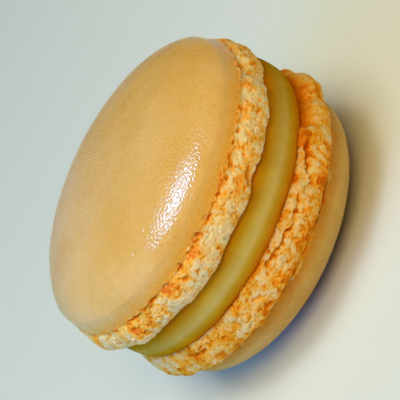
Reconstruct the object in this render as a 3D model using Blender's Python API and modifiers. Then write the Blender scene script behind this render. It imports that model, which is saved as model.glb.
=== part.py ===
"""A french macaron: two almond meringue shells with ruffled feet, held together by a soft filling.

The macaron lies on the small flat of its lower shell. The origin is the middle of its outline,
at the level it rests on. +Z runs up through both shells, and lengths are in metres.
"""

import math

import bpy

MM = 0.001

# The two shells, each in its own frame with its underside at height 0 and its skin up. A foot
# row is a radius and a height, from the notch under the skin round the crest to the lip.
UPPER_SHELL = {
    "cap_radius": 20.9 * MM,
    "cap_height": 7.2 * MM,
    "dome_power": 2.3,  # 2 is an ellipse, more is a fuller shoulder
    "flat_radius": 0.0,
    "foot_height": 3.85 * MM,  # from the underside to the edge of the skin
    "foot_rows": (
        (20.75 * MM, 3.6 * MM),
        (20.35 * MM, 3.45 * MM),
        (21.45 * MM, 3.05 * MM),
        (21.9 * MM, 2.25 * MM),
        (22.0 * MM, 1.4 * MM),
        (21.95 * MM, 0.55 * MM),
        (21.7 * MM, -0.22 * MM),
        (21.15 * MM, -0.45 * MM),
        (20.4 * MM, -0.16 * MM),
    ),
    "phase": 0.0,  # how far the ruffles are turned round
}
LOWER_SHELL = {
    "cap_radius": 20.25 * MM,
    "cap_height": 7.7 * MM,
    "dome_power": 2.25,
    "flat_radius": 4.0 * MM,  # the flat that a lying shell settles on
    "foot_height": 5.2 * MM,
    "foot_rows": (
        (20.1 * MM, 5.0 * MM),
        (19.75 * MM, 4.85 * MM),
        (21.2 * MM, 4.5 * MM),
        (21.9 * MM, 3.9 * MM),
        (22.05 * MM, 3.2 * MM),
        (21.9 * MM, 2.2 * MM),
        (21.5 * MM, 1.2 * MM),
        (21.0 * MM, 0.4 * MM),
        (20.5 * MM, 0.02 * MM),
    ),
    "phase": 2.4,
}
UNDERSIDE_RADIUS = 19.8 * MM
DOME_ROWS = 11
AROUND = 88

FILLING_THICKNESS = 5.2 * MM
FILLING_WAIST = 21.1 * MM
FILLING_TOP_EDGE = 19.8 * MM  # the filling's radius where it meets the upper shell
FILLING_BASE_EDGE = 20.4 * MM
FILLING_AROUND = 72
FILLING_ROWS = 8
GAP = 0.3 * MM  # the clearance that separate solids keep

# A macaron is put together by hand, so its layers sit slightly off centre, along X
FILLING_SHIFT = 0.2 * MM
LOWER_SHIFT = 0.25 * MM

# Waves around the foot: how many, how deep, and where each starts. The last number is
# how far a wave slants as it climbs the foot.
FOOT_WAVES = (
    (3, 0.10 * MM, 0.6, 0.0),
    (7, 0.12 * MM, 2.1, 0.3),
    (11, 0.15 * MM, 4.0, 0.6),
    (17, 0.15 * MM, 1.2, -0.8),
    (26, 0.12 * MM, 5.1, 1.1),
)
LIP_WAVES = ((5, 0.10 * MM, 1.7, 0.0), (12, 0.10 * MM, 3.3, 0.0), (19, 0.07 * MM, 0.2, 0.0))
CAP_WAVES = ((2, 0.14 * MM, 2.6, 0.0), (3, 0.08 * MM, 0.9, 0.0), (5, 0.04 * MM, 4.4, 0.0))
FILLING_WAVES = ((2, 0.12 * MM, 5.9, 0.0), (3, 0.10 * MM, 1.4, 0.0), (7, 0.06 * MM, 3.0, 0.0))


def clear_scene():
    for obj in list(bpy.data.objects):
        bpy.data.objects.remove(obj)


def material(name, colour, roughness):
    """A Principled material of one colour."""
    made = bpy.data.materials.new(name)
    made.use_nodes = True
    shader = made.node_tree.nodes["Principled BSDF"]
    shader.inputs["Base Color"].default_value = (*colour, 1.0)
    shader.inputs["Roughness"].default_value = roughness
    shader.inputs["Metallic"].default_value = 0.0
    return made


def wave_sum(waves, angle, rise=0.0):
    """The total of some waves at an angle round the macaron; rise goes from 0 to 1 up the foot."""
    return sum(
        depth * math.sin(count * angle + start + slant * rise)
        for count, depth, start, slant in waves
    )


def smooth_step(low, high, value):
    """0 below low, 1 above high, and an even ease between them."""
    share = min(1.0, max(0.0, (value - low) / (high - low)))
    return share * share * (3.0 - 2.0 * share)


def turned(name, profile, steps, collection, finish):
    """A closed solid of revolution about Z. The profile is (radius, height) from top to bottom."""
    mesh = bpy.data.meshes.new(name + "_profile")
    points = [(radius, 0.0, height) for radius, height in profile]
    mesh.from_pydata(points, [(i, i + 1) for i in range(len(points) - 1)], [])
    outline = bpy.data.objects.new(name + "_profile", mesh)
    collection.objects.link(outline)
    screw = outline.modifiers.new("turn", "SCREW")
    screw.axis = "Z"
    screw.steps = steps
    screw.render_steps = steps
    screw.use_merge_vertices = True
    screw.merge_threshold = 0.01 * MM

    graph = bpy.context.evaluated_depsgraph_get()
    solid = bpy.data.objects.new(
        name, bpy.data.meshes.new_from_object(outline.evaluated_get(graph))
    )
    solid.data.name = name
    bpy.data.objects.remove(outline)
    collection.objects.link(solid)
    solid.data.materials.append(finish)
    solid.data.shade_smooth()
    return solid


def dome_profile(shell):
    """The smooth skin from its top to its edge; a flat_radius above 0 leaves a small flat."""
    flat = shell["flat_radius"]
    rows = []
    for row in range(DOME_ROWS + 1):
        turn = math.radians(90.0 * (1.0 - row / DOME_ROWS))
        across = max(0.0, math.cos(turn)) ** (2.0 / shell["dome_power"])
        up = math.sin(turn) ** (2.0 / shell["dome_power"])
        radius = flat + (shell["cap_radius"] - flat) * across
        rows.append((radius, shell["foot_height"] + shell["cap_height"] * up))
    if flat > 0.0:
        rows.insert(0, (0.0, shell["foot_height"] + shell["cap_height"]))
    return rows


def ruffle(solid, shell):
    """Works the waves of a baked foot into a turned shell, and a slight unevenness into its skin."""
    phase = shell["phase"]
    for vertex in solid.data.vertices:
        x, y, height = vertex.co
        radius = math.hypot(x, y)
        if radius < UNDERSIDE_RADIUS + 0.1 * MM and height < 0.9 * shell["foot_height"]:
            continue
        angle = math.atan2(y, x) + phase
        rise = height / shell["foot_height"]
        on_foot = 1.0 - smooth_step(0.72, 0.95, rise)
        at_lip = 1.0 - smooth_step(0.0, 0.45, rise)
        on_skin = smooth_step(0.6, 1.0, rise) * (radius / shell["cap_radius"]) ** 2

        push = on_foot * wave_sum(FOOT_WAVES, angle, rise)
        push += on_skin * wave_sum(CAP_WAVES, angle)
        vertex.co.x += push * math.cos(angle - phase)
        vertex.co.y += push * math.sin(angle - phase)
        vertex.co.z += at_lip * wave_sum(LIP_WAVES, angle)
    solid.data.update()


def make_shell(name, shell, collection, finish):
    """One shell in its own frame, with its underside at height 0 and its skin up."""
    profile = dome_profile(shell) + list(shell["foot_rows"])
    profile += [(UNDERSIDE_RADIUS, 0.0), (0.0, 0.0)]
    solid = turned(name, profile, AROUND, collection, finish)
    ruffle(solid, shell)
    return solid


def make_filling(collection, finish):
    """The layer between the shells: flat above and below, with a soft bulge all round."""
    half = 0.5 * FILLING_THICKNESS
    profile = [(0.0, half)]
    for row in range(FILLING_ROWS + 1):
        turn = math.radians(90.0 - 180.0 * row / FILLING_ROWS)
        upper = row < 0.5 * FILLING_ROWS
        edge = FILLING_TOP_EDGE if upper else FILLING_BASE_EDGE
        bulge = max(0.0, math.cos(turn)) ** (1.3 if upper else 0.8)
        profile.append((edge + (FILLING_WAIST - edge) * bulge, half * math.sin(turn)))
    profile.append((0.0, -half))
    filling = turned("filling", profile, FILLING_AROUND, collection, finish)
    for vertex in filling.data.vertices:
        radius = math.hypot(vertex.co.x, vertex.co.y)
        if radius < 0.5 * FILLING_TOP_EDGE:
            continue
        angle = math.atan2(vertex.co.y, vertex.co.x)
        share = smooth_step(FILLING_TOP_EDGE, FILLING_WAIST, radius)
        push = 1.0 + share * wave_sum(FILLING_WAVES, angle) / radius
        vertex.co.x *= push
        vertex.co.y *= push
    filling.data.update()
    return filling


def centre_footprint(objects):
    """Slides all the pieces together so that their outline is centred on the origin."""
    bpy.context.view_layer.update()
    corners = [obj.matrix_world @ vertex.co for obj in objects for vertex in obj.data.vertices]
    for axis in (0, 1):
        along = [corner[axis] for corner in corners]
        middle = 0.5 * (min(along) + max(along))
        for obj in objects:
            obj.location[axis] -= middle


def build():
    clear_scene()
    macaron = bpy.data.collections.new("macaron")
    bpy.context.scene.collection.children.link(macaron)

    upper_finish = material("upper_shell_meringue", (0.77, 0.47, 0.17), 0.45)
    lower_finish = material("lower_shell_meringue", (0.74, 0.44, 0.14), 0.5)
    filling_finish = material("lemon_filling", (0.55, 0.34, 0.06), 0.35)

    lower = make_shell("lower_shell", LOWER_SHELL, macaron, lower_finish)
    filling = make_filling(macaron, filling_finish)
    upper = make_shell("upper_shell", UPPER_SHELL, macaron, upper_finish)

    # The lower shell is turned over, and the others are stacked on its underside.
    lower.rotation_euler = (math.pi, 0.0, 0.0)
    lower.location.z = LOWER_SHELL["cap_height"] + LOWER_SHELL["foot_height"]
    lower.location.x = LOWER_SHIFT
    filling.location.z = lower.location.z + GAP + 0.5 * FILLING_THICKNESS
    filling.location.x = FILLING_SHIFT
    upper.location.z = filling.location.z + 0.5 * FILLING_THICKNESS + GAP
    centre_footprint([lower, filling, upper])


build()
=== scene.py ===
import math
import random

import bpy
import numpy as np
from mathutils import Matrix, Vector, noise


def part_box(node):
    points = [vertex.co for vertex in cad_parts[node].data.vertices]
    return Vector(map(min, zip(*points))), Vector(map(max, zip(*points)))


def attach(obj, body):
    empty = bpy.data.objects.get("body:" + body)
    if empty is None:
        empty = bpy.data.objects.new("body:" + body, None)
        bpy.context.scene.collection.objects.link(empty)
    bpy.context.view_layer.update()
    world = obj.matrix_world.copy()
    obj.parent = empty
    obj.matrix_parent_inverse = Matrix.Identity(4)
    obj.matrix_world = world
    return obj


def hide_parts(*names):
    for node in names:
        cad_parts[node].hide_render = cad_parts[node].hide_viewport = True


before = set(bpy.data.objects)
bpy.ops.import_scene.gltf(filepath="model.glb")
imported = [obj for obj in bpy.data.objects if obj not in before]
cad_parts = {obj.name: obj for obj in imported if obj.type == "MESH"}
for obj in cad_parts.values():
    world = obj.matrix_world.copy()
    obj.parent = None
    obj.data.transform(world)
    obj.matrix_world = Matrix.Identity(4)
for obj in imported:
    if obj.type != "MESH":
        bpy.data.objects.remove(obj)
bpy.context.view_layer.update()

mm = 0.001


def easeBetween(low, high, values):
    share = np.clip((values - low) / (high - low), 0.0, 1.0)
    return share * share * (3.0 - 2.0 * share)


def waveSum(waves, angle, rise=0.0):
    # each wave is how many, how deep in mm, where it starts, and its slant up the foot
    total = 0.0
    for count, depth, start, slant in waves:
        total = total + depth * np.sin(count * angle + start + slant * rise)
    return total


def readPoints(piece):
    flat = np.empty(len(piece.data.vertices) * 3)
    piece.data.vertices.foreach_get("co", flat)
    return flat.reshape(-1, 3) / mm


def writePoints(piece, points):
    piece.data.vertices.foreach_set("co", (points * mm).ravel())
    piece.data.update()


def readNormals(piece):
    flat = np.empty(len(piece.data.vertices) * 3)
    piece.data.vertex_normals.foreach_get("vector", flat)
    return flat.reshape(-1, 3)


def paintValue(piece, name, values):
    attribute = piece.data.attributes.new(name, "FLOAT", "POINT")
    attribute.data.foreach_set("value", np.asarray(values, np.float32))


def weightGroup(piece, name, weights):
    group = piece.vertex_groups.new(name=name)
    for index in np.nonzero(weights > 0.001)[0]:
        group.add([int(index)], float(weights[index]), "REPLACE")


def noiseAt(points, size, shift=0.0):
    # soft noise from about -0.6 to 0.6, for points in mm
    return np.array([noise.noise(Vector(point) / size + Vector((shift, 0.0, 0.0))) for point in points])


def smoothOutline(rows, spacing):
    # an even walk along a smooth line through the rows, in mm
    rows = [np.array(row, float) for row in rows]
    walked = []
    for index in range(len(rows) - 1):
        before = rows[max(index - 1, 0)]
        start, end = rows[index], rows[index + 1]
        after = rows[min(index + 2, len(rows) - 1)]
        for share in np.linspace(0.0, 1.0, 24, endpoint=False):
            walked.append(0.5 * (2 * start + (end - before) * share
                                 + (2 * before - 5 * start + 4 * end - after) * share ** 2
                                 + (3 * start - before - 3 * end + after) * share ** 3))
    walked = np.array(walked + [rows[-1]])
    lengths = np.concatenate([[0.0], np.cumsum(np.linalg.norm(np.diff(walked, axis=0), axis=1))])
    stops = np.linspace(0.0, lengths[-1], max(2, round(lengths[-1] / spacing) + 1))
    return list(zip(np.interp(stops, lengths, walked[:, 0]), np.interp(stops, lengths, walked[:, 1])))


def turnedPiece(name, outline, steps):
    # one point is drawn out along the outline, which is then turned round the axis
    bpy.ops.object.select_all(action="DESELECT")
    bpy.ops.mesh.primitive_plane_add(size=mm, location=(0.0, 0.0, 0.0))
    piece = bpy.context.object
    piece.name = piece.data.name = name
    bpy.ops.object.mode_set(mode="EDIT")
    bpy.ops.mesh.merge(type="CENTER")
    bpy.ops.transform.translate(value=(outline[0][0] * mm, 0.0, outline[0][1] * mm))
    for start, end in zip(outline, outline[1:]):
        step = ((end[0] - start[0]) * mm, 0.0, (end[1] - start[1]) * mm)
        bpy.ops.mesh.extrude_vertices_move(TRANSFORM_OT_translate={"value": step})
    bpy.ops.object.mode_set(mode="OBJECT")
    turn = piece.modifiers.new("turn", "SCREW")
    turn.axis = "Z"
    turn.steps = turn.render_steps = steps
    turn.use_merge_vertices = True
    turn.merge_threshold = 0.002 * mm
    bpy.ops.object.modifier_apply(modifier=turn.name)
    bpy.ops.object.mode_set(mode="EDIT")
    bpy.ops.mesh.select_all(action="SELECT")
    bpy.ops.mesh.remove_doubles(threshold=0.002 * mm)
    bpy.ops.mesh.normals_make_consistent(inside=False)
    bpy.ops.object.mode_set(mode="OBJECT")
    bpy.ops.object.shade_smooth()
    return piece


def displaceBy(piece, texture, strength, middle, group, coordinates):
    modifier = piece.modifiers.new(texture.name, "DISPLACE")
    modifier.texture = texture
    modifier.texture_coords = "OBJECT"
    modifier.texture_coords_object = coordinates
    modifier.strength = strength * mm
    modifier.mid_level = middle
    modifier.vertex_group = group
    placeBefore, normalBefore = readPoints(piece), readNormals(piece)
    bpy.context.view_layer.objects.active = piece
    bpy.ops.object.modifier_apply(modifier=modifier.name)
    return np.sum((readPoints(piece) - placeBefore) * normalBefore, axis=1)  # how far each point rose, in mm


def bubbleTexture(name, size, warp):
    # cells pulled out of shape, each highest in its middle
    texture = bpy.data.textures.new(name, "DISTORTED_NOISE")
    texture.noise_scale = size * mm
    texture.noise_basis = "VORONOI_F1"
    texture.noise_distortion = "IMPROVED_PERLIN"
    texture.distortion = warp
    texture.use_color_ramp = True
    ramp = texture.color_ramp
    ramp.interpolation = "B_SPLINE"
    ramp.elements.new(0.5)
    for element, (place, value) in zip(ramp.elements, ((0.0, 1.0), (0.45, 0.6), (0.9, 0.0))):
        element.position = place
        element.color = (value, value, value, 1.0)
    return texture


def cloudTexture(name, size, depth):
    texture = bpy.data.textures.new(name, "CLOUDS")
    texture.noise_scale = size * mm
    texture.noise_depth = depth
    texture.noise_type = "SOFT_NOISE"
    texture.noise_basis = "IMPROVED_PERLIN"
    return texture


def stretchedSpace(name, heightScale):
    # lumps run longer round the foot than up it
    bpy.ops.object.select_all(action="DESELECT")
    bpy.ops.object.empty_add(location=(0.0, 0.0, 0.0))
    space = bpy.context.object
    space.name = name
    space.scale = (1.0, 1.0, heightScale)
    bpy.context.view_layer.update()
    return space


print("helpers ready")

footWaves = (
    (3, 0.10, 0.6, 0.0), (7, 0.12, 2.1, 0.3), (11, 0.15, 4.0, 0.6), (17, 0.15, 1.2, -0.8), (26, 0.12, 5.1, 1.1),
)
lipWaves = ((5, 0.10, 1.7, 0.0), (12, 0.10, 3.3, 0.0), (19, 0.07, 0.2, 0.0))
skinWaves = ((2, 0.14, 2.6, 0.0), (3, 0.08, 0.9, 0.0), (5, 0.04, 4.4, 0.0))

upperShell = {
    "node": "upper_shell",
    "capRadius": 20.9,
    "capHeight": 7.2,
    "fullness": 2.3,
    "flatRadius": 0.0,
    "footHeight": 3.85,
    "footRows": (
        (20.9, 3.7), (20.87, 3.5), (20.93, 3.3), (21.12, 3.0), (21.4, 2.5), (21.62, 1.7),
        (21.65, 0.7), (21.35, 0.0), (20.9, -0.22), (20.3, -0.08), (19.4, 0.0),
    ),
    "phase": 0.0,
    "cream": 0.55,  # how pale the foam is
    "turnedOver": False,
    "edgePits": 44,
    "footPits": 110,
    "seed": 3,
    # pits and cracks as (from angle, from height, to angle, to height, half width, depth)
    "marks": (
        (-43, 22.3, -44, 22.3, 0.25, 0.35), (-50, 22.3, -51, 22.2, 0.25, 0.4), (-59, 22.2, -60, 22.1, 0.3, 0.6),
        (-64, 22.3, -65, 22.3, 0.25, 0.45), (-70, 22.3, -71, 22.2, 0.2, 0.35), (-76, 22.1, -78, 21.9, 0.25, 0.4),
        (-83, 22.3, -84, 22.2, 0.25, 0.4), (-90, 22.1, -92, 22.2, 0.22, 0.4), (-98, 22.3, -99, 22.4, 0.3, 0.7),
        (-105, 22.2, -106, 22.2, 0.22, 0.35), (-110, 22.0, -112, 22.1, 0.2, 0.3),
        (-125, 22.1, -128, 22.3, 0.3, 0.55), (-137, 22.1, -142, 22.3, 0.25, 0.4),
        (-158, 21.9, -159, 21.9, 0.3, 0.5), (-167, 22.0, -168, 22.0, 0.3, 0.5),
        (-71, 19.6, -76, 19.1, 0.55, 0.9), (-78, 20.6, -81, 20.4, 0.4, 0.25), (-108, 20.3, -109, 20.2, 0.25, 0.5),
        (-112, 20.8, -114, 21.0, 0.35, 0.35), (-142, 21.0, -144, 21.1, 0.3, 0.4), (-30, 21.0, -31, 21.0, 0.3, 0.4),
        (66, 20.6, 69, 20.4, 0.4, 0.4),
    ),
    "shadedHollows": (),
}
lowerShell = {
    "node": "lower_shell",
    "capRadius": 20.25,
    "capHeight": 7.7,
    "fullness": 2.25,
    "flatRadius": 4.0,
    "footHeight": 5.2,
    "footRows": (
        (20.24, 5.05), (20.2, 4.88), (20.35, 4.7), (20.85, 4.4), (21.5, 3.95), (21.7, 3.2),
        (21.58, 2.2), (21.25, 1.3), (20.95, 0.55), (20.5, 0.15), (19.8, 0.0), (19.2, 0.0),
    ),
    "phase": 2.4,
    "cream": 0.43,
    "turnedOver": True,
    "edgePits": 30,
    "footPits": 120,
    "seed": 8,
    "marks": (
        (-51, 12.2, -63, 11.5, 0.22, 1.0), (-64, 10.7, -68, 10.9, 0.25, 0.6), (-72, 11.9, -82, 11.3, 0.2, 0.4),
        (-83, 11.4, -93, 11.8, 0.22, 0.7), (-91, 11.6, -98, 12.1, 0.25, 0.7), (-65, 12.8, -69, 12.9, 0.45, 0.5),
        (-99, 12.9, -103, 12.9, 0.35, 0.4), (-138, 11.5, -148, 11.9, 0.28, 0.5),
        (-108, 11.0, -111, 11.3, 0.25, 0.4), (-103, 9.3, -104, 9.4, 0.2, 0.4), (70, 11.6, 92, 11.9, 0.22, 0.8),
        (118, 11.3, 135, 11.7, 0.25, 0.6), (160, 11.8, 178, 11.4, 0.22, 0.6), (35, 10.2, 40, 10.4, 0.3, 0.5),
    ),
    # smooth hollows, given as marks are; their foam is painted nearly pit-dark as painted shade beside the filling
    "shadedHollows": ((20, 12.0, -42, 12.2, 1.2, 1.0), (14, 12.8, -44, 12.6, 0.7, 0.7)),
}


def markShare(points, mark, wobble):
    # how near each point is to the line of a mark, from 0 to 1
    startAngle, startHeight, endAngle, endHeight, halfWidth, depth = mark
    footRadius = 21.5
    angle = np.degrees(np.arctan2(points[:, 1], points[:, 0]))
    around = np.radians((angle - startAngle + 180.0) % 360.0 - 180.0) * footRadius
    across = np.stack((around, points[:, 2] - startHeight), axis=1) + wobble
    along = np.array((math.radians(endAngle - startAngle) * footRadius, endHeight - startHeight))
    share = np.clip(across @ along / (along @ along), 0.0, 1.0)
    taper = 0.55 + 0.45 * np.sin(math.pi * share)
    far = np.linalg.norm(across - share[:, None] * along, axis=1)
    return np.exp(-(far / (halfWidth * taper)) ** 2)


def shellOutline(shell):
    # dome, edge of the skin, groove, ruffle, lip and underside, from the top of the axis to its foot
    flat, radius, edge = shell["flatRadius"], shell["capRadius"], shell["footHeight"]
    dome = []
    for turn in np.radians(np.linspace(90.0, 14.0, 28)):
        across = math.cos(turn) ** (2.0 / shell["fullness"]) if turn < 1.57 else 0.0
        up = math.sin(turn) ** (2.0 / shell["fullness"])
        dome.append((flat + (radius - flat) * across, edge + shell["capHeight"] * up))
    if flat > 0.0:
        dome.insert(0, (0.0, edge + shell["capHeight"]))
    below = [(radius, edge)] + list(shell["footRows"])
    return dome[:-1] + smoothOutline([dome[-1]] + below, 0.12) + [(0.0, shell["footRows"][-1][1])]


def ruffle(points, shell):
    radius = np.hypot(points[:, 0], points[:, 1])
    angle = np.arctan2(points[:, 1], points[:, 0])
    rise = points[:, 2] / shell["footHeight"]
    onFoot = (1.0 - easeBetween(0.72, 0.95, rise)) * easeBetween(18.8, 20.2, radius)
    atLip = (1.0 - easeBetween(0.0, 0.45, rise)) * easeBetween(19.8, 20.6, radius)
    onSkin = easeBetween(0.6, 1.0, rise) * (radius / shell["capRadius"]) ** 2
    turned = angle + shell["phase"]
    push = onFoot * waveSum(footWaves, turned, rise) + onSkin * waveSum(skinWaves, turned)
    points[:, 0] += push * np.cos(angle)
    points[:, 1] += push * np.sin(angle)
    points[:, 2] += atLip * waveSum(lipWaves, turned)


def placeInShell(points, shell):
    # from the shell's own frame to its place in the macaron; the ruffles push the outline off the axis
    low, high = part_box(shell["node"])
    boxMiddle = np.array(((low[0] + high[0]) / 2, (low[1] + high[1]) / 2)) / mm
    outlineMiddle = 0.5 * (points[:, :2].min(axis=0) + points[:, :2].max(axis=0))
    thickness = shell["footHeight"] + shell["capHeight"]
    points[:, :2] -= outlineMiddle
    if shell["turnedOver"]:
        points[:, 1:] *= -1.0
        points[:, 2] += low[2] / mm + thickness
    else:
        points[:, 2] += high[2] / mm - thickness
    points[:, :2] += boxMiddle


def smallPits(shell, placedEdge):
    # pits along the edge of the skin, then more scattered over the foot
    chance = random.Random(shell["seed"])
    towardsLip = 1.0 if shell["turnedOver"] else -1.0
    pits = []
    for index in range(shell["edgePits"]):
        angle = 360.0 * (index + chance.uniform(0.1, 0.9)) / shell["edgePits"]
        height = placedEdge + chance.uniform(-0.35, 0.15)
        pits.append((angle, height, angle + chance.uniform(0.3, 1.6), height + chance.uniform(-0.1, 0.1),
                     chance.uniform(0.14, 0.22), chance.uniform(0.12, 0.28)))
    for index in range(shell["footPits"]):
        angle = chance.uniform(0.0, 360.0)
        height = placedEdge + towardsLip * chance.uniform(0.4, 0.95 * shell["footHeight"])
        pits.append((angle, height, angle + chance.uniform(0.1, 0.9), height + chance.uniform(-0.15, 0.15),
                     chance.uniform(0.13, 0.22), chance.uniform(0.1, 0.3)))
    return pits


def makeShell(name, shell, lumpSpace, streakSpace):
    outline = shellOutline(shell)
    mostTriangles = 196000
    piece = turnedPiece(name, outline, mostTriangles // (2 * len(outline)))
    own = readPoints(piece)
    ruffle(own, shell)
    placed = own.copy()
    placeInShell(placed, shell)
    writePoints(piece, placed)

    # the skin ends in a ragged edge, and the baked foam starts there
    radius = np.hypot(own[:, 0], own[:, 1])
    rise = own[:, 2] / shell["footHeight"]
    aboveEdge = own[:, 2] - shell["footHeight"]
    nearEdge = (np.abs(aboveEdge) < 1.5) & (radius > 19.0)
    ragged = np.zeros(len(own))
    ragged[nearEdge] = 0.5 * noiseAt(placed[nearEdge], 1.1) + 0.3 * noiseAt(placed[nearEdge], 0.45, 7.0)
    onSkin = easeBetween(-0.25, 0.2, aboveEdge + ragged)
    pastRim = easeBetween(0.0, 2.4, aboveEdge + ragged)
    paintValue(piece, "skin", 0.5 * onSkin + 0.5 * pastRim)

    shown = radius > 19.0
    wobble = np.zeros((len(own), 2))
    for axis in (0, 1):
        wobble[shown, axis] = 0.3 * noiseAt(placed[shown], 0.9, 3.0 * axis) + 0.16 * noiseAt(placed[shown], 0.35, 5.0)
    hollowedAndShaded = np.zeros(len(own))
    sunk = np.zeros(len(own))
    for mark in shell["shadedHollows"]:
        share = markShare(placed, mark, wobble)
        hollowedAndShaded = np.maximum(hollowedAndShaded, share)
        sunk += mark[5] * share
    foam = (1.0 - onSkin) * easeBetween(19.3, 20.3, radius) * (1.0 - 0.85 * hollowedAndShaded)
    weightGroup(piece, "foam", foam)
    weightGroup(piece, "granules", foam * (1.0 - 0.55 * easeBetween(0.45, 0.9, rise)))
    weightGroup(piece, "streaks", foam * easeBetween(0.4, 0.85, rise))
    weightGroup(piece, "skin", onSkin * easeBetween(shell["flatRadius"] + 1.0, 8.0, radius))

    swell = displaceBy(piece, cloudTexture("footSwell", 1.9, 1), 0.45, 0.5, "foam", lumpSpace)
    streaks = displaceBy(piece, cloudTexture("footStreaks", 0.7, 1), 0.28, 0.5, "streaks", streakSpace)
    lumps = displaceBy(piece, bubbleTexture("footLumps", 0.9, 0.5), 0.14, 0.65, "granules", lumpSpace)
    bubbles = displaceBy(piece, bubbleTexture("footBubbles", 0.44, 0.25), 0.38, 0.65, "granules", lumpSpace)
    froth = displaceBy(piece, bubbleTexture("footFroth", 0.32, 0.15), 0.24, 0.65, "foam", lumpSpace)
    displaceBy(piece, cloudTexture("skinDents", 6.0, 1), 0.14, 0.5, "skin", lumpSpace)
    piece.vertex_groups.clear()

    # cream where the foam stands proud and near the lip, orange near the skin, and orange low down under the lip as
    # painted shade; the recesses are painted darker than the crests, partly as painted shade and partly because dried
    # crests are paler
    relief = np.zeros(len(own))
    for raised, share in ((swell, 0.2), (streaks, 0.4), (lumps, 0.6), (bubbles, 1.2), (froth, 0.8)):
        relief += share * raised / raised[shown].std()
    ranked = relief[shown].argsort().argsort() / shown.sum()
    tone = shell["cream"] - 0.2 * easeBetween(0.3, 0.9, rise) - 0.2 * (1.0 - easeBetween(-0.08, 0.12, rise))
    tone[shown] += 0.26 * (2.0 * ranked - 1.0)
    for size, share in ((2.6, 0.42), (1.3, 0.5), (0.8, 0.3)):
        tone[shown] += share * noiseAt(placed[shown], size, 7.0 * size)

    pressed = np.zeros(len(own))
    placedEdge = placed[np.argmin(np.abs(aboveEdge) + (radius < 19.0) * 99.0), 2]
    for mark in list(shell["marks"]) + smallPits(shell, placedEdge):
        pressed = np.maximum(pressed, mark[5] * markShare(placed, mark, wobble))
    # hollows are painted dark as painted shade; pits and cracks are painted darker, partly their deeper baked colour
    # and partly painted shade in the recess
    tone = tone * (1.0 - hollowedAndShaded) + 0.03 * hollowedAndShaded - 1.2 * np.clip(pressed, 0.0, 0.4)
    paintValue(piece, "crumbToneAndShade", tone)
    points = readPoints(piece)
    inwards = ((pressed + sunk) * (radius > 19.3) / radius.clip(1.0))[:, None]
    points[:, :2] -= inwards * points[:, :2]
    writePoints(piece, points)
    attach(piece, "root")
    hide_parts(shell["node"])
    return piece


lumpSpace = stretchedSpace("lumpSpace", 0.75)
streakSpace = stretchedSpace("streakSpace", 0.4)
upperMeringue = makeShell("upper_meringue", upperShell, lumpSpace, streakSpace)
lowerMeringueShaded = makeShell("lower_meringue", lowerShell, lumpSpace, streakSpace)
for space in (lumpSpace, streakSpace):
    bpy.data.objects.remove(space)
print("shells made")

fillingBand = {
    "waist": 21.1,
    "topEdge": 19.8,
    "baseEdge": 20.4,
    "reach": 0.45,  # how far it goes into each shell, past its solid
    "waves": ((2, 0.12, 5.9, 0.0), (3, 0.10, 1.4, 0.0), (7, 0.06, 3.0, 0.0)),
    "paintedLightWaves": ((1, 0.35, 3.49, 0.0), (2, 0.35, 4.64, 0.0)),
}


def makeFilling(band):
    low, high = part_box("filling")
    middle = (low + high) / 2 / mm
    half = (high[2] - low[2]) / 2 / mm
    rows = [(0.0, half + band["reach"]), (18.0, half + band["reach"]), (band["topEdge"], half + 0.3)]
    for turn in np.radians(np.linspace(80.0, -80.0, 33)):
        edge = band["topEdge"] if turn > 0 else band["baseEdge"]
        bulge = math.cos(turn) ** (1.3 if turn > 0 else 0.8)
        rows.append((edge + (band["waist"] - edge) * bulge, half * math.sin(turn)))
    rows += [(band["baseEdge"], -half - 0.3), (18.0, -half - band["reach"]), (0.0, -half - band["reach"])]
    filling = turnedPiece("lemon_filling", rows, 360)
    points = readPoints(filling)
    radius = np.hypot(points[:, 0], points[:, 1])
    angle = np.arctan2(points[:, 1], points[:, 0])
    push = easeBetween(band["topEdge"], band["waist"], radius) * waveSum(band["waves"], angle)
    points[:, 0] += push * np.cos(angle)
    points[:, 1] += push * np.sin(angle)
    paintValue(filling, "toEdge", 0.5 + 0.5 * np.clip(points[:, 2] / half, -1.0, 1.0))
    # lighter and darker round the band as painted light and shade, which picks the pale or the amber stretch
    paintValue(filling, "pale", 0.35 + waveSum(band["paintedLightWaves"], angle))
    writePoints(filling, points + np.array(middle))
    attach(filling, "root")
    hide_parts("filling")
    return filling


filling = makeFilling(fillingBand)
print("filling made")


def newMaterial(name):
    made = bpy.data.materials.new(name)
    made.use_nodes = True
    tree = made.node_tree
    return made, tree, tree.nodes["Principled BSDF"]


def addNode(tree, kind, x, y, **values):
    node = tree.nodes.new(kind)
    node.location = (x, y)
    for name, value in values.items():
        setattr(node, name, value)
    return node


def setRamp(node, stops):
    ramp = node.color_ramp
    while len(ramp.elements) < len(stops):
        ramp.elements.new(0.5)
    for element, (place, colour) in zip(ramp.elements, stops):
        element.position = place
        element.color = (*colour, 1.0)


def mixColours(tree, x, y, factor, first, second, blend="MIX"):
    # factor, first and second are outputs of other nodes, or fixed values
    node = addNode(tree, "ShaderNodeMix", x, y, data_type="RGBA", blend_type=blend)
    sockets = {socket.identifier: socket for socket in node.inputs}
    for identifier, value in (("Factor_Float", factor), ("A_Color", first), ("B_Color", second)):
        if isinstance(value, bpy.types.NodeSocket):
            tree.links.new(value, sockets[identifier])
        else:
            sockets[identifier].default_value = value
    return next(socket for socket in node.outputs if socket.identifier == "Result_Color")


def mapRange(tree, x, y, value, fromLow, fromHigh, toLow=0.0, toHigh=1.0):
    node = addNode(tree, "ShaderNodeMapRange", x, y)
    for name, number in (("From Min", fromLow), ("From Max", fromHigh), ("To Min", toLow), ("To Max", toHigh)):
        node.inputs[name].default_value = number
    tree.links.new(value, node.inputs["Value"])
    return node.outputs["Result"]


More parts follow.
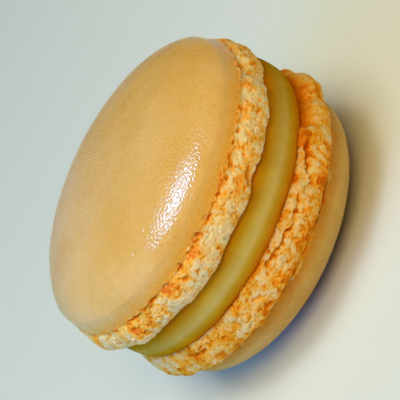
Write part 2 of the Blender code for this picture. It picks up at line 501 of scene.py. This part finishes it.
def multiply(tree, x, y, first, second):
    node = addNode(tree, "ShaderNodeMath", x, y, operation="MULTIPLY")
    for index, value in enumerate((first, second)):
        if isinstance(value, bpy.types.NodeSocket):
            tree.links.new(value, node.inputs[index])
        else:
            node.inputs[index].default_value = value
    return node.outputs["Value"]


def makeGrainGroup():
    # patches, a fine mottle, eggshell grain and a few tiny specks, all as plain values
    group = bpy.data.node_groups.new("bakedGrain", "ShaderNodeTree")
    group.interface.new_socket("Vector", in_out="INPUT", socket_type="NodeSocketVector")
    for name, value in (("Patch Scale", 110.0), ("Mottle Scale", 1900.0), ("Grain Scale", 2700.0), ("Speck Scale", 700.0)):
        socket = group.interface.new_socket(name, in_out="INPUT", socket_type="NodeSocketFloat")
        socket.default_value = value
    for name in ("Patch", "Mottle", "Grain", "Speck"):
        group.interface.new_socket(name, in_out="OUTPUT", socket_type="NodeSocketFloat")
    start = addNode(group, "NodeGroupInput", -900, 0)
    end = addNode(group, "NodeGroupOutput", 500, 0)
    for row, (name, detail, roughness) in enumerate((("Patch", 4.0, 0.65), ("Mottle", 3.0, 0.7), ("Grain", 1.5, 0.5))):
        clouds = addNode(group, "ShaderNodeTexNoise", -500, 400 - 300 * row)
        clouds.inputs["Detail"].default_value = detail
        clouds.inputs["Roughness"].default_value = roughness
        group.links.new(start.outputs["Vector"], clouds.inputs["Vector"])
        group.links.new(start.outputs[name + " Scale"], clouds.inputs["Scale"])
        group.links.new(clouds.outputs["Fac"], end.inputs[name])
    cells = addNode(group, "ShaderNodeTexVoronoi", -500, -500)
    group.links.new(start.outputs["Vector"], cells.inputs["Vector"])
    group.links.new(start.outputs["Speck Scale"], cells.inputs["Scale"])
    rare = addNode(group, "ShaderNodeMath", -250, -400, operation="GREATER_THAN")
    rare.inputs[1].default_value = 0.93
    group.links.new(cells.outputs["Color"], rare.inputs[0])
    near = mapRange(group, -250, -600, cells.outputs["Distance"], 0.22, 0.08)
    group.links.new(multiply(group, 0, -500, rare.outputs["Value"], near), end.inputs["Speck"])
    return group


grainGroup = makeGrainGroup()

upperLook = {
    "gold": (0.75, 0.42, 0.105),
    "pale": (0.81, 0.50, 0.20),
    "rim": (0.80, 0.38, 0.05),
    "speck": (0.42, 0.20, 0.04),
    "skinRoughness": 0.2,
    "specular": 0.25,
    "grain": 0.1,  # mm
    "pit": (0.76, 0.18, 0.004),
    "orange": (0.90, 0.35, 0.01),
    "warm": (0.88, 0.45, 0.06),
    "cream": (0.84, 0.62, 0.32),
}
# the same meringue as the upper shell, with its skin colours painted darker as painted shade under the upper shell and
# the filling
shadedLowerLook = {
    "gold": (0.61, 0.33, 0.07),
    "pale": (0.67, 0.41, 0.12),
    "rim": (0.62, 0.25, 0.02),
    "speck": (0.36, 0.16, 0.03),
    "skinRoughness": 0.6,
    "specular": 0.05,
    "grain": 0.13,
    "pit": (0.70, 0.15, 0.003),
    "orange": (0.84, 0.29, 0.008),
    "warm": (0.86, 0.42, 0.045),
    "cream": (0.86, 0.58, 0.27),
}


def makeMeringue(name, look):
    meringue, tree, shader = newMaterial(name)
    place = addNode(tree, "ShaderNodeTexCoord", -1700, 0)
    grain = addNode(tree, "ShaderNodeGroup", -1450, 0, node_tree=grainGroup)
    tree.links.new(place.outputs["Object"], grain.inputs["Vector"])
    skinValue = addNode(tree, "ShaderNodeAttribute", -1450, 500, attribute_name="skin").outputs["Fac"]
    onSkin = mapRange(tree, -1200, 500, skinValue, 0.05, 0.5)
    pastRim = mapRange(tree, -1200, 750, skinValue, 0.5, 1.0)

    # the skin: orange at its rim, partly its baked colour and partly painted shade where it turns down to the foot,
    # then broad patches under a fine mottle, and specks of almond
    patches = addNode(tree, "ShaderNodeValToRGB", -1200, 200)
    setRamp(patches, ((0.35, look["gold"]), (0.65, look["pale"])))
    tree.links.new(grain.outputs["Patch"], patches.inputs["Fac"])
    mottle = addNode(tree, "ShaderNodeValToRGB", -1200, -50)
    setRamp(mottle, ((0.3, (0.44, 0.44, 0.42)), (0.7, (0.56, 0.56, 0.58))))
    tree.links.new(grain.outputs["Mottle"], mottle.inputs["Fac"])
    rimmed = mixColours(tree, -900, 400, pastRim, (*look["rim"], 1.0), patches.outputs["Color"])
    mottled = mixColours(tree, -700, 300, 1.0, rimmed, mottle.outputs["Color"], "SOFT_LIGHT")
    specked = mixColours(tree, -500, 200, grain.outputs["Speck"], mottled, (*look["speck"], 1.0))

    # the foam: pit, orange, warm and cream by how far it stands out
    foam = addNode(tree, "ShaderNodeValToRGB", -900, -300)
    setRamp(foam, ((0.0, look["pit"]), (0.22, look["orange"]), (0.45, look["warm"]), (0.8, look["cream"])))
    crumbToneAndShade = addNode(tree, "ShaderNodeAttribute", -1450, -300, attribute_name="crumbToneAndShade")
    freckled = addNode(tree, "ShaderNodeMath", -1200, -300, operation="ADD")
    tree.links.new(crumbToneAndShade.outputs["Fac"], freckled.inputs[0])
    tree.links.new(mapRange(tree, -1450, -500, grain.outputs["Mottle"], 0.3, 0.7, -0.1, 0.1), freckled.inputs[1])
    tree.links.new(freckled.outputs["Value"], foam.inputs["Fac"])
    whole = mixColours(tree, -300, 100, onSkin, foam.outputs["Color"], specked)
    tree.links.new(whole, shader.inputs["Base Color"])

    tree.links.new(mapRange(tree, -500, -100, onSkin, 0.0, 1.0, 0.95, look["skinRoughness"]), shader.inputs["Roughness"])
    bump = addNode(tree, "ShaderNodeBump", -250, -600)
    bump.inputs["Strength"].default_value = 1.0
    bump.inputs["Distance"].default_value = look["grain"] * mm
    tree.links.new(grain.outputs["Grain"], bump.inputs["Height"])
    tree.links.new(bump.outputs["Normal"], shader.inputs["Normal"])
    shader.inputs["Specular IOR Level"].default_value = look["specular"]
    shader.inputs["Subsurface Weight"].default_value = 0.4
    shader.inputs["Subsurface Radius"].default_value = (1.0, 0.45, 0.15)
    shader.inputs["Subsurface Scale"].default_value = 0.45 * mm
    return meringue


lemonLook = {
    # across the band from its foot to its top: pale in the middle as a painted highlight, amber towards both shells as
    # painted shade under them
    "pale": ((0.03, (0.60, 0.17, 0.001)), (0.12, (0.56, 0.23, 0.001)), (0.27, (0.58, 0.34, 0.015)),
             (0.43, (0.65, 0.47, 0.14)), (0.58, (0.61, 0.42, 0.08)), (0.76, (0.54, 0.30, 0.008)),
             (0.95, (0.61, 0.20, 0.001))),
    "amber": ((0.03, (0.56, 0.16, 0.001)), (0.15, (0.49, 0.19, 0.001)), (0.4, (0.46, 0.24, 0.005)),
              (0.7, (0.47, 0.19, 0.001)), (0.97, (0.62, 0.17, 0.001))),
    "shine": 0.12,
    "glint": (0.80, 0.74, 0.50),
    "glints": 0.35,
}


def makeLemonCream(name, look):
    lemon, tree, shader = newMaterial(name)
    height = addNode(tree, "ShaderNodeAttribute", -1050, 200, attribute_name="toEdge")
    ramps = []
    for row, stretch in enumerate(("amber", "pale")):
        ramp = addNode(tree, "ShaderNodeValToRGB", -800, 500 - 300 * row)
        setRamp(ramp, look[stretch])
        tree.links.new(height.outputs["Fac"], ramp.inputs["Fac"])
        ramps.append(ramp.outputs["Color"])
    paintedLightShare = addNode(tree, "ShaderNodeAttribute", -1050, 500, attribute_name="pale").outputs["Fac"]
    # the pale stretch where painted light falls round the band, the amber one where painted shade falls
    tone = mixColours(tree, -500, 300, paintedLightShare, ramps[0], ramps[1])
    place = addNode(tree, "ShaderNodeTexCoord", -1050, -100)
    grain = addNode(tree, "ShaderNodeGroup", -800, -100, node_tree=grainGroup)
    grain.inputs["Patch Scale"].default_value = 260.0
    tree.links.new(place.outputs["Object"], grain.inputs["Vector"])
    cloudy = addNode(tree, "ShaderNodeValToRGB", -550, -100)
    setRamp(cloudy, ((0.35, (0.44, 0.44, 0.44)), (0.65, (0.56, 0.56, 0.56))))
    tree.links.new(grain.outputs["Patch"], cloudy.inputs["Fac"])
    clouded = mixColours(tree, -300, 100, 1.0, tone, cloudy.outputs["Color"], "SOFT_LIGHT")
    glints = multiply(tree, -300, -100, grain.outputs["Speck"], look["glints"])
    tree.links.new(mixColours(tree, -150, 100, glints, clouded, (*look["glint"], 1.0)), shader.inputs["Base Color"])
    shader.inputs["Roughness"].default_value = 0.5
    shader.inputs["Specular IOR Level"].default_value = 0.0
    tree.links.new(mapRange(tree, -300, -300, paintedLightShare, 0.5, 1.0, 0.0, look["shine"]), shader.inputs["Coat Weight"])
    shader.inputs["Coat Roughness"].default_value = 0.2
    shader.inputs["Subsurface Weight"].default_value = 0.4
    shader.inputs["Subsurface Radius"].default_value = (1.0, 0.6, 0.15)
    shader.inputs["Subsurface Scale"].default_value = 1.2 * mm
    return lemon


for piece, material, slot in (
    (upperMeringue, makeMeringue("upperMeringue", upperLook), "upper_shell_meringue"),
    (lowerMeringueShaded, makeMeringue("lowerMeringueShaded", shadedLowerLook), "lower_shell_meringue"),
    (filling, makeLemonCream("lemonCream", lemonLook), "lemon_filling"),
):
    piece.data.materials.clear()
    piece.data.materials.append(material)
print("materials made")

bpy.ops.object.select_all(action="DESELECT")
bpy.ops.mesh.primitive_plane_add(size=3.0, location=(0.0, 0.0, 0.0))
floor = bpy.context.object
floor.name = "floor"
paper, tree, shader = newMaterial("paleFloor")
shader.inputs["Base Color"].default_value = (0.78, 0.77, 0.75, 1.0)
shader.inputs["Roughness"].default_value = 0.8
floor.data.materials.append(paper)

# a warm key with a softer light above it, cool fills as by a window, and a strip that only shines
lightSettings = {
    "key": {"from": (0.08, -0.72, 0.69), "distance": 0.7, "size": (0.35, 0.35), "watts": 2.5,
            "colour": (1.0, 0.8, 0.3), "lights": True, "shines": False},
    "above": {"from": (-0.02, -0.15, 0.98), "distance": 0.7, "size": (0.4, 0.4), "watts": 2.5,
              "colour": (0.96, 1.0, 0.78), "lights": True, "shines": False},
    "strip": {"from": (-0.01, -0.14, 0.98), "distance": 0.5, "size": (0.225, 0.045), "watts": 7.3,
              "colour": (0.2, 0.55, 1.0), "lights": False, "shines": True},
    "coolFront": {"from": (-0.9, -0.2, 0.35), "distance": 0.8, "size": (0.4, 0.4), "watts": 2.8,
                  "colour": (0.05, 0.22, 1.0), "lights": True, "shines": False},
    "coolSide": {"from": (-0.8, 0.0, 0.55), "distance": 0.9, "size": (0.8, 0.8), "watts": 2.0,
                 "colour": (0.1, 0.75, 1.0), "lights": True, "shines": True},
    "coolBack": {"from": (-0.45, 0.85, 0.25), "distance": 0.9, "size": (0.9, 0.5), "watts": 0.9,
                 "colour": (0.25, 0.55, 1.0), "lights": True, "shines": True},
}
for name, light in lightSettings.items():
    towards = Vector(light["from"]).normalized()
    bpy.ops.object.light_add(type="AREA", location=towards * light["distance"])
    lamp = bpy.context.object
    lamp.name = name
    lamp.data.shape = "RECTANGLE"
    lamp.data.size, lamp.data.size_y = light["size"]
    lamp.data.energy = light["watts"]
    lamp.data.color = light["colour"]
    lamp.rotation_euler = towards.to_track_quat("Z", "Y").to_euler()
    lamp.visible_diffuse = light["lights"]
    lamp.visible_glossy = light["shines"]

world = bpy.data.worlds.new("studio")
world.use_nodes = True
sky = world.node_tree.nodes["Background"]
sky.inputs["Color"].default_value = (0.62, 0.70, 0.80, 1.0)
seen = addNode(world.node_tree, "ShaderNodeLightPath", -600, 0).outputs["Is Camera Ray"]
skyStrength = mapRange(world.node_tree, -300, 0, seen, 0.0, 1.0, 0.08, 0.9)  # faint light, pale behind the floor
world.node_tree.links.new(skyStrength, sky.inputs["Strength"])
bpy.context.scene.world = world
bpy.context.scene.view_settings.view_transform = "Standard"

cameraSettings = {
    "elevation": 23.785, "roll": -64.96, "distance": 0.288, "aim": (0.0009, -0.0004, 0.0150), "lens": 195.5,
}
bpy.ops.object.camera_add()
camera = bpy.context.object
camera.name = "camera"
camera.data.lens = cameraSettings["lens"]
camera.data.sensor_width = 36.0
camera.data.clip_start = 0.01
elevation = math.radians(cameraSettings["elevation"])
back = Vector((0.0, -math.cos(elevation), math.sin(elevation)))
camera.matrix_world = (
    Matrix.Translation(Vector(cameraSettings["aim"]) + back * cameraSettings["distance"])
    @ Matrix.Rotation(math.pi / 2 - elevation, 4, "X")
    @ Matrix.Rotation(math.radians(cameraSettings["roll"]), 4, "Z")
)
bpy.context.scene.camera = camera
print("floor, lights and camera made")
